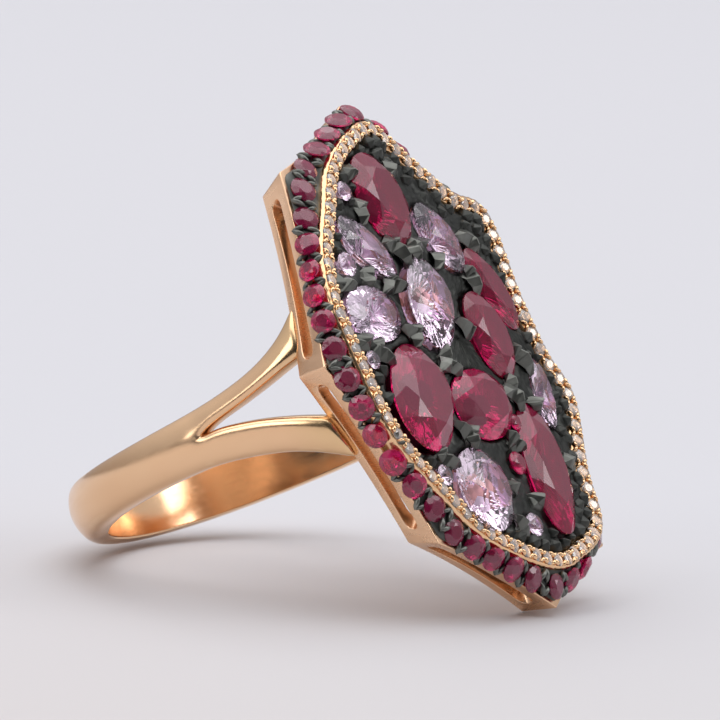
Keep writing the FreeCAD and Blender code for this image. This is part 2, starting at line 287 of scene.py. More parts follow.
def hand_polish_group():
    """Fine rubbing marks and slow unevenness left by a polishing wheel."""
    group, inside, outside = new_group(
        "hand_polish",
        [("Scratch Scale", "NodeSocketFloat", 900.0), ("Cloud Scale", "NodeSocketFloat", 250.0),
         ("Low Rough", "NodeSocketFloat", 0.1), ("High Rough", "NodeSocketFloat", 0.25)],
        [("Roughness", "NodeSocketFloat"), ("Height", "NodeSocketFloat"),
         ("Cloud", "NodeSocketFloat")])
    link = group.links.new
    where = add_node(group, "TexCoord")
    stretch = add_node(group, "Mapping", Scale=(1.0, 5.0, 1.0), Rotation=(0.2, 0.3, 0.4))
    scratch = add_node(group, "TexNoise", Detail=6.0, Roughness=0.65)
    cloud = add_node(group, "TexNoise", Detail=3.0)
    link(where.outputs["Object"], stretch.inputs["Vector"])
    link(stretch.outputs["Vector"], scratch.inputs["Vector"])
    link(where.outputs["Object"], cloud.inputs["Vector"])
    link(inside.outputs["Scratch Scale"], scratch.inputs["Scale"])
    link(inside.outputs["Cloud Scale"], cloud.inputs["Scale"])
    mixed = add_node(group, "Math", operation="MULTIPLY")
    link(scratch.outputs["Fac"], mixed.inputs[0])
    link(cloud.outputs["Fac"], mixed.inputs[1])
    rough = add_node(group, "MapRange", From_Min=0.12, From_Max=0.42)
    link(mixed.outputs[0], rough.inputs["Value"])
    link(inside.outputs["Low Rough"], rough.inputs["To Min"])
    link(inside.outputs["High Rough"], rough.inputs["To Max"])
    link(rough.outputs["Result"], outside.inputs["Roughness"])
    link(scratch.outputs["Fac"], outside.inputs["Height"])
    link(cloud.outputs["Fac"], outside.inputs["Cloud"])
    return group


def edge_rub_group():
    """Mask of raised edges, broken up so the rubbing looks worn and not drawn."""
    group, inside, outside = new_group(
        "edge_rub",
        [("Break Up Scale", "NodeSocketFloat", 1500.0), ("Start", "NodeSocketFloat", 0.52),
         ("End", "NodeSocketFloat", 0.62)],
        [("Mask", "NodeSocketFloat")])
    link = group.links.new
    where = add_node(group, "TexCoord")
    form = add_node(group, "NewGeometry")
    patches = add_node(group, "TexNoise", Detail=4.0)
    link(where.outputs["Object"], patches.inputs["Vector"])
    link(inside.outputs["Break Up Scale"], patches.inputs["Scale"])
    raised = add_node(group, "MapRange")
    link(form.outputs["Pointiness"], raised.inputs["Value"])
    link(inside.outputs["Start"], raised.inputs["From Min"])
    link(inside.outputs["End"], raised.inputs["From Max"])
    broken = add_node(group, "Math", operation="MULTIPLY")
    link(raised.outputs["Result"], broken.inputs[0])
    link(patches.outputs["Fac"], broken.inputs[1])
    link(broken.outputs[0], outside.inputs["Mask"])
    return group


def graver_group():
    """Short cut marks and small pits left by a graver in the blackened metal."""
    group, inside, outside = new_group(
        "graver_cuts",
        [("Cut Scale", "NodeSocketFloat", 1400.0), ("Pit Scale", "NodeSocketFloat", 3500.0)],
        [("Height", "NodeSocketFloat"), ("Tone", "NodeSocketFloat")])
    link = group.links.new
    where = add_node(group, "TexCoord")
    stretch = add_node(group, "Mapping", Scale=(1.0, 0.35, 1.0), Rotation=(0.0, 0.0, 0.7))
    cuts = add_node(group, "TexVoronoi", feature="DISTANCE_TO_EDGE")
    pits = add_node(group, "TexNoise", Detail=8.0, Roughness=0.7)
    link(where.outputs["Object"], stretch.inputs["Vector"])
    link(stretch.outputs["Vector"], cuts.inputs["Vector"])
    link(where.outputs["Object"], pits.inputs["Vector"])
    link(inside.outputs["Cut Scale"], cuts.inputs["Scale"])
    link(inside.outputs["Pit Scale"], pits.inputs["Scale"])
    height = add_node(group, "Math", operation="MULTIPLY_ADD")
    link(pits.outputs["Fac"], height.inputs[0])
    height.inputs[1].default_value = 0.5
    link(cuts.outputs["Distance"], height.inputs[2])
    link(height.outputs[0], outside.inputs["Height"])
    link(pits.outputs["Fac"], outside.inputs["Tone"])
    return group


def silk_group():
    """Faint clouds, fine silk and colour zones inside a natural stone."""
    group, inside, outside = new_group(
        "stone_silk",
        [("Zone Scale", "NodeSocketFloat", 350.0), ("Silk Scale", "NodeSocketFloat", 2500.0)],
        [("Zone", "NodeSocketFloat"), ("Silk", "NodeSocketFloat")])
    link = group.links.new
    where = add_node(group, "TexCoord")
    zone = add_node(group, "TexNoise", Detail=2.0, Distortion=0.6)
    silk = add_node(group, "TexNoise", Detail=7.0, Roughness=0.7)
    link(where.outputs["Object"], zone.inputs["Vector"])
    link(where.outputs["Object"], silk.inputs["Vector"])
    link(inside.outputs["Zone Scale"], zone.inputs["Scale"])
    link(inside.outputs["Silk Scale"], silk.inputs["Scale"])
    link(zone.outputs["Fac"], outside.inputs["Zone"])
    link(silk.outputs["Fac"], outside.inputs["Silk"])
    return group


POLISH = hand_polish_group()
RUB = edge_rub_group()
GRAVER = graver_group()
SILK = silk_group()


def start_material(name):
    finish = bpy.data.materials.new(name)
    finish.use_nodes = True
    tree = finish.node_tree
    return finish, tree, tree.nodes["Principled BSDF"]


def place_group(tree, group, **values):
    node = tree.nodes.new("ShaderNodeGroup")
    node.node_tree = group
    for key, value in values.items():
        node.inputs[key.replace("_", " ")].default_value = value
    return node


def mix_colour(tree, mask, low, high):
    """Colour that goes from low to high with a mask."""
    mix = add_node(tree, "Mix", data_type="RGBA")
    tree.links.new(mask, mix.inputs["Factor"])
    for socket, value in ((mix.inputs[6], low), (mix.inputs[7], high)):
        if isinstance(value, tuple):
            socket.default_value = (*value, 1.0)
        else:
            tree.links.new(value, socket)
    return mix.outputs[2]


def raise_bump(tree, shader, height, strength, distance):
    bump = add_node(tree, "Bump", Strength=strength, Distance=distance * MM)
    tree.links.new(height, bump.inputs["Height"])
    tree.links.new(bump.outputs["Normal"], shader.inputs["Normal"])


def rose_gold(name, deep, bright, low_rough, high_rough, bump=0.15, yellower_near_head=False):
    finish, tree, shader = start_material(name)
    polish = place_group(tree, POLISH, Low_Rough=low_rough, High_Rough=high_rough)
    rub = place_group(tree, RUB)
    body = mix_colour(tree, polish.outputs["Cloud"], deep, bright)
    tone = mix_colour(tree, rub.outputs["Mask"], body, tuple(min(1.0, c * 1.08) for c in bright))
    if yellower_near_head:
        # Colour turns yellower, in patches, up the arms towards where they meet the head
        where = add_node(tree, "TexCoord")
        split = add_node(tree, "SeparateXYZ")
        tree.links.new(where.outputs["Object"], split.inputs[0])
        wash = add_node(tree, "MapRange", From_Min=0.0052, From_Max=0.0075, To_Max=0.95)
        tree.links.new(split.outputs["Z"], wash.inputs["Value"])
        patchy = add_node(tree, "Math", operation="MULTIPLY")
        tree.links.new(wash.outputs["Result"], patchy.inputs[0])
        tree.links.new(polish.outputs["Cloud"], patchy.inputs[1])
        tone = mix_colour(tree, patchy.outputs[0], tone, (0.74, 0.55, 0.26))
    tree.links.new(tone, shader.inputs["Base Color"])
    tree.links.new(polish.outputs["Roughness"], shader.inputs["Roughness"])
    shader.inputs["Metallic"].default_value = 1.0
    raise_bump(tree, shader, polish.outputs["Height"], bump, 0.01)
    return finish


def black_rhodium(name, dark, grey, low_rough, high_rough, bump=0.5):
    finish, tree, shader = start_material(name)
    graver = place_group(tree, GRAVER)
    rub = place_group(tree, RUB, Start=0.5, End=0.6)
    body = mix_colour(tree, graver.outputs["Tone"], dark, grey)
    worn = mix_colour(tree, rub.outputs["Mask"], body, tuple(c * 2.1 for c in grey))
    tree.links.new(worn, shader.inputs["Base Color"])
    rough = add_node(tree, "MapRange", To_Min=low_rough, To_Max=high_rough)
    tree.links.new(graver.outputs["Tone"], rough.inputs["Value"])
    tree.links.new(rough.outputs["Result"], shader.inputs["Roughness"])
    shader.inputs["Metallic"].default_value = 0.85
    raise_bump(tree, shader, graver.outputs["Height"], bump, 0.04)
    return finish


def gem_finish(name, deep, light, through, index=1.77, zone_scale=350.0, shine=0.5):
    finish, tree, shader = start_material(name)
    silk = place_group(tree, SILK, Zone_Scale=zone_scale)
    body = mix_colour(tree, silk.outputs["Zone"], deep, light)
    tree.links.new(body, shader.inputs["Base Color"])
    rough = add_node(tree, "MapRange", From_Min=0.3, From_Max=0.7, To_Min=0.0, To_Max=0.04)
    tree.links.new(silk.outputs["Silk"], rough.inputs["Value"])
    tree.links.new(rough.outputs["Result"], shader.inputs["Roughness"])
    shader.inputs["IOR"].default_value = index
    shader.inputs["Specular IOR Level"].default_value = shine
    shader.inputs["Transmission Weight"].default_value = through
    return finish


def glint_painted_seat(name):
    """Gold seat in small cells, each painted bright or dark: painted glints and painted shade that
    show through the stones, over a bump of small facets.
    """
    finish, tree, shader = start_material(name)
    where = add_node(tree, "TexCoord")
    cells = add_node(tree, "TexVoronoi", Scale=2400.0)
    tree.links.new(where.outputs["Object"], cells.inputs["Vector"])
    split = add_node(tree, "SeparateColor")
    tree.links.new(cells.outputs["Color"], split.inputs["Color"])
    # Painted glints and painted shade: the cells run from dark brown shade to bright pinkish white
    # glints
    ramp = add_node(tree, "ValToRGB")
    stops = ramp.color_ramp.elements
    stops[0].color = (0.22, 0.08, 0.07, 1)
    stops[1].color = (1.0, 0.90, 0.98, 1)
    for position, colour in ((0.22, (0.60, 0.28, 0.20, 1)), (0.42, (0.92, 0.58, 0.56, 1)),
                             (0.6, (1.0, 0.80, 0.98, 1))):
        stops.new(position).color = colour
    tree.links.new(split.outputs[0], ramp.inputs["Fac"])
    tree.links.new(ramp.outputs["Color"], shader.inputs["Base Color"])
    rough = add_node(tree, "MapRange", To_Min=0.2, To_Max=0.45)
    tree.links.new(split.outputs[1], rough.inputs["Value"])
    tree.links.new(rough.outputs["Result"], shader.inputs["Roughness"])
    shader.inputs["Metallic"].default_value = 0.8
    raise_bump(tree, shader, cells.outputs["Distance"], 0.5, 0.12)
    return finish


SHANK_GOLD = rose_gold("polished_rose_gold", (0.85, 0.53, 0.31), (0.95, 0.65, 0.40), 0.12, 0.27,
                       0.2, True)
GALLERY_GOLD = rose_gold("gallery_rose_gold", (0.84, 0.51, 0.31), (0.96, 0.66, 0.43), 0.2, 0.36,
                         0.25)
CHANNEL_GOLD = rose_gold("channel_rose_gold", (0.85, 0.50, 0.26), (0.95, 0.64, 0.38), 0.12, 0.3,
                         0.3)
SEAT_WITH_PAINTED_GLINTS = glint_painted_seat("seat_painted_glints_and_shade")
BORDER_BLACK = black_rhodium("blackened_border", (0.02, 0.021, 0.02), (0.095, 0.098, 0.09),
                             0.28, 0.5)
CLAW_BLACK = black_rhodium("blackened_claws", (0.03, 0.031, 0.028), (0.135, 0.138, 0.125),
                           0.22, 0.42, 0.3)
# Blackened metal, painted darker than the border and claws: painted shade in the recesses between
# the stones
PLATE_BLACK_AND_SHADE = black_rhodium("blackened_plate_and_painted_shade", (0.012, 0.013, 0.012), (0.06, 0.062, 0.057),
                            0.3, 0.6)
RUBY = gem_finish("deep_ruby", (0.52, 0.003, 0.06), (0.82, 0.016, 0.18), 0.78,
                  shine=0.28)
BORDER_RUBY = gem_finish("border_ruby", (0.56, 0.003, 0.08), (0.86, 0.03, 0.22), 0.8,
                         zone_scale=900.0, shine=0.35)
SAPPHIRE = gem_finish("pink_sapphire", (0.94, 0.68, 0.91), (1.0, 0.87, 0.98), 0.97)
DIAMOND = gem_finish("small_diamond", (0.93, 0.90, 0.87), (1.0, 0.98, 0.97), 0.72, 2.3)


# ---------------------------------------------------------------- shank

# Height w, lower edge, lower arm's upper edge, upper arm's lower edge, upper edge (all v),
# inside face, crown and outer edge (all distances from the middle in u)
LEFT_ARMS = [
    (7.25, -3.65, -1.8, 0.95, 3.15, 7.05, 8.45, 7.65),
    (6.85, -3.4, -1.62, 0.88, 2.7, 7.2, 8.6, 7.85),
    (6.2, -2.95, -1.3, 0.74, 2.05, 7.45, 8.85, 8.2),
    (5.3, -2.45, -0.93, 0.5, 1.55, 7.75, 9.05, 8.55),
    (4.4, -2.1, -0.62, 0.3, 1.25, 8.02, 9.22, 8.8),
    (3.4, -1.82, -0.37, 0.12, 1.06, 8.3, 9.4, 9.02),
    (2.55, -1.62, -0.2, 0.0, 0.95, 8.47, 9.55, 9.18)]
RIGHT_ARMS = [
    (7.25, -3.65, -1.8, 0.95, 3.15, 6.4, 7.8, 7.45),
    (6.85, -3.4, -1.62, 0.88, 2.7, 6.6, 7.95, 7.6),
    (6.2, -2.95, -1.3, 0.74, 2.05, 7.0, 8.3, 7.9),
    (5.3, -2.45, -0.93, 0.5, 1.55, 7.5, 8.75, 8.3),
    (4.4, -2.1, -0.62, 0.3, 1.25, 7.9, 9.1, 8.68),
    (3.4, -1.82, -0.37, 0.12, 1.06, 8.25, 9.37, 8.98),
    (2.55, -1.62, -0.2, 0.0, 0.95, 8.45, 9.55, 9.18)]
APEX = (1.8, -1.5, 0.9, 8.56, 9.66, 9.28)
# Angle round the finger, lower edge, upper edge, crown and edge thickness
BAND = [(7, -1.42, 0.86, 1.16, 0.78), (-4, -1.34, 0.84, 1.22, 0.82), (-18, -1.28, 0.88, 1.26, 0.86),
        (-34, -1.25, 0.98, 1.26, 0.86), (-52, -1.24, 1.1, 1.24, 0.86), (-70, -1.25, 1.2, 1.22, 0.86),
        (-90, -1.26, 1.26, 1.22, 0.86)]


def arm_ring(sign, w, low, slot_low, slot_high, high, inner, crown, edge):
    """Two rounded sections, one for each arm, at one height."""
    lower_mid = (low + slot_low) / 2
    upper_mid = (high + slot_high) / 2
    slot_edge = lerp(crown, edge, 0.12)
    slot_mid = (inner + crown) / 2
    lower = [(inner, low), (lerp(inner, edge, 0.55), low - 0.03), (edge, low + 0.06),
             (lerp(crown, edge, 0.3), lower_mid), (slot_edge, slot_low),
             (slot_mid, slot_low + 0.03), (inner, slot_low), (inner - 0.02, lower_mid)]
    upper = [(inner, slot_high), (slot_mid, slot_high - 0.03), (slot_edge, slot_high),
             (lerp(crown, edge, 0.3), upper_mid), (edge, high - 0.06),
             (lerp(inner, edge, 0.55), high + 0.03), (inner, high), (inner - 0.02, upper_mid)]
    return [(sign * u, v, w) for u, v in lower], [(sign * u, v, w) for u, v in upper]


def band_ring(low, high, crown, edge, place):
    """One section of the plain band: thickness outwards and v, placed round the finger."""
    mid = (low + high) / 2
    section = [(0.0, low), (edge * 0.55, low - 0.03), (edge, low + 0.06),
               (lerp(crown, edge, 0.3), lerp(low, mid, 0.5)), (crown, mid),
               (lerp(crown, edge, 0.3), lerp(high, mid, 0.5)), (edge, high - 0.06),
               (edge * 0.55, high + 0.03), (0.0, high), (-0.02, lerp(high, mid, 0.5)),
               (-0.02, mid), (-0.02, lerp(low, mid, 0.5))]
    return [place(t, v) for t, v in section]


def split_shank():
    points = []
    faces = []
    rings = []

    def put(ring):
        start = len(points)
        points.extend(ring)
        rings.append(start)
        return start

    def bridge(a, b, loop_a, loop_b):
        n = len(loop_a)
        for i in range(n):
            j = (i + 1) % n
            faces.append((a + loop_a[i], a + loop_a[j], b + loop_b[j], b + loop_b[i]))

    band = []
    w, low, high, inner, crown, edge = APEX
    band.append(put(band_ring(low, high, crown - inner, edge - inner,
                              lambda t, v: (-(inner + t), v, w))))
    stations = [(180 - a, *rest) for a, *rest in BAND] + BAND[-2::-1]
    for angle, low, high, crown_t, edge_t in stations:
        c, s = math.cos(math.radians(angle)), math.sin(math.radians(angle))
        band.append(put(band_ring(low, high, crown_t, edge_t,
                                  lambda t, v: (c * (HOLE_RADIUS + t), v, s * (HOLE_RADIUS + t)))))
    w, low, high, inner, crown, edge = APEX
    band.append(put(band_ring(low, high, crown - inner, edge - inner,
                              lambda t, v: (inner + t, v, w))))
    whole = list(range(12))
    for a, b in zip(band, band[1:]):
        bridge(a, b, whole, whole)
    for sign, arms, apex in ((-1, LEFT_ARMS, band[0]), (1, RIGHT_ARMS, band[-1])):
        inner, crown = APEX[3], APEX[4]
        wall = len(points)
        points.append((sign * (inner + crown) / 2, (APEX[1] + APEX[2]) / 2, APEX[0] - 0.05))
        lower_loop = [apex + i for i in (0, 1, 2, 3, 4)] + [wall, apex + 10, apex + 11]
        upper_loop = [apex + 10, wall] + [apex + i for i in (4, 5, 6, 7, 8, 9)]
        last = None
        for station in arms[::-1]:
            lower, upper = arm_ring(sign, *station)
            a = put(lower)
            b = put(upper)
            eight = list(range(8))
            if last is None:
                bridge(0, a, lower_loop, eight)
                bridge(0, b, upper_loop, eight)
            else:
                bridge(last[0], a, eight, eight)
                bridge(last[1], b, eight, eight)
            last = (a, b)
        faces.append(tuple(last[0] + i for i in range(8)))
        faces.append(tuple(last[1] + i for i in range(8)))
    piece = make_piece("shank_polished", points, faces, SHANK_GOLD,
                       ["split_shank"])
    mesh = piece.data
    crease = mesh.attributes.new("crease_edge", "FLOAT", "EDGE")
    inner_edges = set()
    for start in band:
        inner_edges |= {start, start + 8}
    for i, e in enumerate(mesh.edges):
        if set(e.vertices) <= inner_edges:
            crease.data[i].value = 0.55
    subdivide(piece, 3)
    fix_normals(piece)
    return piece


def fix_normals(piece, join=0.0):
    """Turns all faces outwards, after joining points that are closer than join mm."""
    net = bmesh.new()
    net.from_mesh(piece.data)
    if join:
        bmesh.ops.remove_doubles(net, verts=net.verts, dist=join * MM)
    bmesh.ops.recalc_face_normals(net, faces=net.faces)
    net.to_mesh(piece.data)
    net.free()


# ---------------------------------------------------------------- gallery

def slot_shape(t):
    """How far a gallery slot is open at t along its side: 0 shut, 1 fully open."""
    ends = min(t - 0.075, 0.925 - t) / 0.055
    if ends <= 0:
        return 0.0
    return math.sqrt(min(1.0, ends) * (2 - min(1.0, ends)))


def gallery():
    """Eight-sided flared wall with one long rounded slot in each side."""
    stops = [0.0, 0.04, 0.075, 0.082, 0.1, 0.13, 0.2, 0.3, 0.4, 0.5, 0.6, 0.7, 0.8, 0.87, 0.9,
             0.918, 0.925, 0.96]
    thick = 0.8
    low_in = inset(LOW_CORNERS, thick)
    top_in = inset(TOP_CORNERS, thick)
    rise = RIM_W - RAIL_W
    points = []
    columns = []
    for s in range(8):
        for t in stops:
            low = side_point(LOW_CORNERS, s, t)
            top = side_point(TOP_CORNERS, s, t)
            low2 = side_point(low_in, s, t)
            top2 = side_point(top_in, s, t)
            gape = slot_shape(t) * lerp(1.12, 0.84, math.sin(math.pi * t))
            levels = [0.0, 0.46 - 0.19 * gape, 0.46 + 0.19 * gape, 1.0]
            start = len(points)
            for h in levels:
                p = low.lerp(top, h)
                points.append((p.x, p.y, RAIL_W + rise * h))
            for h in levels:
                p = low2.lerp(top2, h)
                points.append((p.x, p.y, RAIL_W + rise * h))
            columns.append((start, gape > 0))
    faces = []
    n = len(columns)
    for i in range(n):
        a, open_a = columns[i]
        b, open_b = columns[(i + 1) % n]
        faces.append((a, b, b + 1, a + 1))
        faces.append((a + 2, b + 2, b + 3, a + 3))
        faces.append((a + 5, b + 5, b + 4, a + 4))
        faces.append((a + 7, b + 7, b + 6, a + 6))
        faces.append((a + 3, b + 3, b + 7, a + 7))
        faces.append((a + 4, b + 4, b, a))
        if open_a or open_b:
            faces.append((a + 1, b + 1, b + 5, a + 5))
            faces.append((a + 6, b + 6, b + 2, a + 2))
    piece = make_piece("gallery_wall", points, faces, GALLERY_GOLD,
                       ["gallery_frame"])
    fix_normals(piece, 0.002)
    piece.data.shade_smooth()
    soften(piece, 0.11, 4, 32)
    return piece


# ---------------------------------------------------------------- border

RIM_LOOP = outline(inset(TOP_CORNERS, 0.2), 18)
CHANNEL_LOOP = smooth_loop(CHANNEL_LINE, DIAMOND_COUNT * STEPS_PER_DIAMOND)
CREST_LOOP = offset_loop(CHANNEL_LOOP, -0.3)
RIM_TOP = RIM_W + 0.03
CREST_TOP = CHANNEL_W - 0.14


def slope_at(spot):
    """Point on the border's slope over a spot, with its way up the slope and out."""
    ray = Vector(spot).normalized()
    foot = reach(RIM_LOOP, ray)
    crest = reach(CREST_LOOP, ray)
    t = (Vector(spot).length - foot.length) / (crest.length - foot.length)
    t = min(0.66, max(0.3, t))
    low = foot.to_3d() + Vector((0, 0, RIM_TOP))
    high = crest.to_3d() + Vector((0, 0, CREST_TOP))
    up = (high - low).normalized()
    return low.lerp(high, t), up, (high - low).length


def border():
    """Blackened slope between the gallery rim and the diamond channel."""
    rng = random.Random(4)
    rows = [(0.0, -0.5, 0.12), (0.0, -0.02, 0.0), (0.06, 0.05, 0.0), (0.25, 0.08, 0.0),
            (0.5, 0.07, 0.0), (0.75, 0.05, 0.0), (1.0, 0.0, 0.0), (1.12, -0.1, 0.0),
            (1.12, -0.75, 0.0)]
    cols = len(RIM_LOOP)
    points = []
    for t, lift, pull in rows:
        for foot in RIM_LOOP:
            crest = reach(CREST_LOOP, foot.normalized())
            p = foot.lerp(crest, t)
            p = p - p.normalized() * pull
            ripple = rng.uniform(-0.02, 0.02) if 0 < t < 1 else 0.0
            points.append((p.x, p.y, lerp(RIM_TOP, CREST_TOP, min(t, 1.0)) + lift + ripple))
    faces = grid_faces(len(rows), cols, close_rows=True)
    piece = make_piece("border_slope", points, faces, BORDER_BLACK,
                       ["pave_border"])
    fix_normals(piece)
    piece.data.materials.append(GALLERY_GOLD)
    for face in piece.data.polygons[-cols:]:
        face.material_index = 1
    subdivide(piece, 1)
    return piece


def brilliant(half_x, half_y, crown, depth, table=0.56, star=0.78, low_star=0.3, girdle=0.03,
              point=0.0, full=0.94, tiers=False):
    """Cut stone with table, star, kite and girdle facets, and a plain or tiered pavilion."""
    def spot(r, turn, z):
        a = math.radians(turn)
        c, q = math.cos(a), math.sin(a)
        x = r * math.copysign(abs(c) ** full, c)
        y = r * math.copysign(abs(q) ** full, q)
        y *= 1 - point * (x * 0.5 + 0.5) ** 2
        return (x * half_x, y * half_y, z)

    def on_line(r, r1, z1, r2, z2):
        return z1 + (r * math.cos(math.radians(22.5)) - r1) / (r2 - r1) * (z2 - z1)

    table_ring = [spot(table, 45 * k, crown) for k in range(8)]
    star_z = on_line(star, table, crown, 1.0, girdle)
    star_ring = [spot(star, 45 * k + 22.5, star_z) for k in range(8)]
    girdle_top = [spot(1.0, 11.25 * k, girdle) for k in range(32)]
    girdle_low = [spot(1.0, 11.25 * k, -girdle) for k in range(32)]
    low_z = on_line(low_star, 0.0, -depth, 1.0, -girdle)
    low_ring = [spot(low_star, 45 * k + 22.5, low_z) for k in range(8)]
    if tiers:
        low_ring = [spot(r, 22.5 * k + turn, -depth * level) for k in range(16)
                    for r, turn, level in ((0.78, 11.25, 0.27), (0.52, 0.0, 0.56),
                                           (0.26, 11.25, 0.81))]
    points = table_ring + star_ring + girdle_top + girdle_low + low_ring + [(0, 0, -depth)]
    t, m, g, h, p, tip = 0, 8, 16, 48, 80, len(points) - 1
    faces = [tuple(range(8))]
    for k in range(8):
        n = (k + 1) % 8
        b = (k - 1) % 8
        up = [g + (4 * k + i) % 32 for i in range(5)]
        low = [h + (4 * k + i) % 32 for i in range(5)]
        faces += [(t + k, m + k, t + n), (t + k, m + b, up[0], m + k),
                  (m + k, up[0], up[1], up[2]), (m + k, up[2], up[3], up[4])]
        faces += [(up[i], low[i], low[i + 1], up[i + 1]) for i in range(4)]
        if not tiers:
            faces += [(p + k, low[2], low[1], low[0]), (p + k, low[4], low[3], low[2]),
                      (low[0], p + b, tip, p + k)]
    for k in range(16 if tiers else 0):
        low = [h + (2 * k + i) % 32 for i in range(3)]
        a, c, d = [p + 3 * k + i for i in range(3)]
        a2, c2, d2 = [p + 3 * ((k + 1) % 16) + i for i in range(3)]
        faces += [(a, low[2], low[1], low[0]), (low[2], a, c2, a2), (a, c, d, c2),
                  (c2, d, tip, d2)]
    return points, faces


def leaf(length, width, height):
    """Raised bead with pointed ends, as a graver leaves it."""
    points = []
    rows = 7
    for r in range(rows):
        s = -1 + 2 * r / (rows - 1)
        swell = max(0.06, math.sqrt(max(0.0, 1 - s * s)) ** 1.15)
        for k in range(8):
            a = math.tau * k / 8
            lift = math.sin(a) * height * swell * (1.0 if math.sin(a) > 0 else 0.5)
            points.append((s * length / 2, math.cos(a) * width / 2 * swell, lift))
    faces = grid_faces(rows, 8)
    faces += [tuple(range(8)), tuple(rows * 8 - 1 - i for i in range(8))]
    return points, faces


def facing_out(along, up):
    """Direction square to the slope, on the side that faces out of the head."""
    out = along.cross(up)
    return -out if out.z < 0 else out


def border_setting():
    """Round rubies along the border, with leaf-shaped beads in pairs between them."""
    rng = random.Random(11)
    stones = Heap()
    beads = Heap()
    seats = BORDER_SEATS
    n = len(seats)
    for i, spot in enumerate(seats):
        here = Vector(spot)
        ahead = Vector(seats[(i + 1) % n])
        behind = Vector(seats[i - 1])
        point, up, width = slope_at(here)
        along = (ahead - behind).to_3d().normalized()
        out = facing_out(along, up)
        room = min((ahead - here).length, (behind - here).length)
        size = min(1.1, room * 0.86) * rng.uniform(0.95, 1.03)
        lift = 0.1 + max(0.0, 0.5 * (size - width)) if here.x < FAR_U else -0.08
        lean = Matrix.Rotation(rng.uniform(-0.1, 0.1), 4, "X") @ Matrix.Rotation(
            rng.uniform(-0.1, 0.1), 4, "Y") @ Matrix.Rotation(rng.uniform(0, 1.5), 4, "Z")
        place = stand(point + out * lift, along, out) @ lean
        stones.add(*brilliant(size / 2, size / 2, size * 0.17, size * 0.4, 0.55), place)
        gap_spot = (here + ahead) / 2
        point, up, width = slope_at(gap_spot)
        along = (ahead - here).to_3d().normalized()
        out = facing_out(along, up)
        for side in (-1, 1):
            for lean_side in (-1, 1):
                at = (point + up * side * rng.uniform(0.27, 0.33)
                      + out * (0.09 if here.x < FAR_U else 0.0) + along * lean_side * 0.12)
                turn = math.radians(90 + side * lean_side * rng.uniform(18, 34))
                place = stand(at, along, out) @ Matrix.Rotation(turn, 4, "Z")
                beads.add(*leaf(rng.uniform(0.54, 0.66), 0.23, 0.19), place)
    make_piece("border_ruby_row", stones.points, stones.faces, BORDER_RUBY,
               ["border_rubies"], smooth=False)
    make_piece("border_leaf_beads", beads.points, beads.faces, CLAW_BLACK,
               ["border_beads"])


# ---------------------------------------------------------------- channel

def bank_at(p):
    """How steeply the channel's top leans inwards: level on the near side, banked on the far."""
    t = min(1.0, max(0.0, p.x / 4.5))
    return 0.4 * t * t * (3 - 2 * t)


def channel():
    """Rose gold channel that winds round the stones, with scalloped sides."""
    count = len(CHANNEL_LOOP)
    section = [(-0.33, -0.75), (-0.34, -0.12), (-0.31, 0.02), (-0.2, 0.07), (0.0, 0.05),
               (0.2, 0.07), (0.31, 0.02), (0.34, -0.12), (0.33, -0.75)]
    points = []
    for i, p in enumerate(CHANNEL_LOOP):
        side = left_of(CHANNEL_LOOP[i - 1], CHANNEL_LOOP[(i + 1) % count])
        wave = 0.05 * math.cos(math.tau * i / STEPS_PER_DIAMOND)
        bank = bank_at(p)
        for s, h in section:
            q = p + side * (s + math.copysign(wave, s) * (abs(s) > 0.1))
            points.append((q.x, q.y, CHANNEL_W + h - bank * s * (h > -0.5)))
    faces = grid_faces(count, len(section), close_rows=True)
    piece = make_piece("channel_band", points, faces, CHANNEL_GOLD,
                       ["diamond_channel"])
    fix_normals(piece)
    return piece


def channel_setting():
    """Small diamonds in turn with pairs of gold beads along the channel."""
    rng = random.Random(23)
    stones = Heap()
    beads = Heap()
    count = len(CHANNEL_LOOP)
    for k in range(DIAMOND_COUNT):
        i = STEPS_PER_DIAMOND * k
        at = CHANNEL_LOOP[i]
        along = (CHANNEL_LOOP[(i + 1) % count] - CHANNEL_LOOP[i - 1]).to_3d()
        inwards = Vector((-along.y, along.x, 0)).normalized()
        out = (Vector((0, 0, 1)) + inwards * bank_at(at)).normalized()
        place = stand(at.to_3d() + Vector((0, 0, CHANNEL_W)) + out * 0.08, along, out)
        lean = Matrix.Rotation(rng.uniform(-0.12, 0.12), 4, "X") @ Matrix.Rotation(
            rng.uniform(0, 1.5), 4, "Z")
        size = rng.uniform(0.56, 0.62)
        stones.add(*brilliant(size / 2, size / 2, 0.09, 0.18, 0.55), place @ lean)
        j = i + STEPS_PER_DIAMOND // 2
        at = CHANNEL_LOOP[j]
        along = (CHANNEL_LOOP[(j + 1) % count] - CHANNEL_LOOP[j - 1]).to_3d()
        for side in (-1, 1):
            for end in (-1, 1):
                place = stand(at.to_3d() + Vector((0, 0, CHANNEL_W)) + out * 0.09, along, out)
                place = place @ Matrix.Translation((end * 0.1, side * 0.17, 0))
                turn = Matrix.Rotation(side * end * rng.uniform(0.5, 0.8), 4, "Z")
                beads.add(*leaf(rng.uniform(0.32, 0.38), 0.18, 0.17), place @ turn)
    make_piece("channel_diamond_row", stones.points, stones.faces, DIAMOND,
               ["channel_diamonds"], smooth=False)
    make_piece("channel_bead_pairs", beads.points, beads.faces, CHANNEL_GOLD,
               ["channel_beads"])


# ---------------------------------------------------------------- plate and stones

def gem_matrix(gem):
    at = Vector((*gem["at"], gem["up"]))
    tip = gem["tilt"]
    return (Matrix.Translation(at) @ Matrix.Rotation(math.radians(tip[0]), 4, "X")
            @ Matrix.Rotation(math.radians(tip[1]), 4, "Y")
            @ Matrix.Rotation(math.radians(gem["turn"]), 4, "Z"))


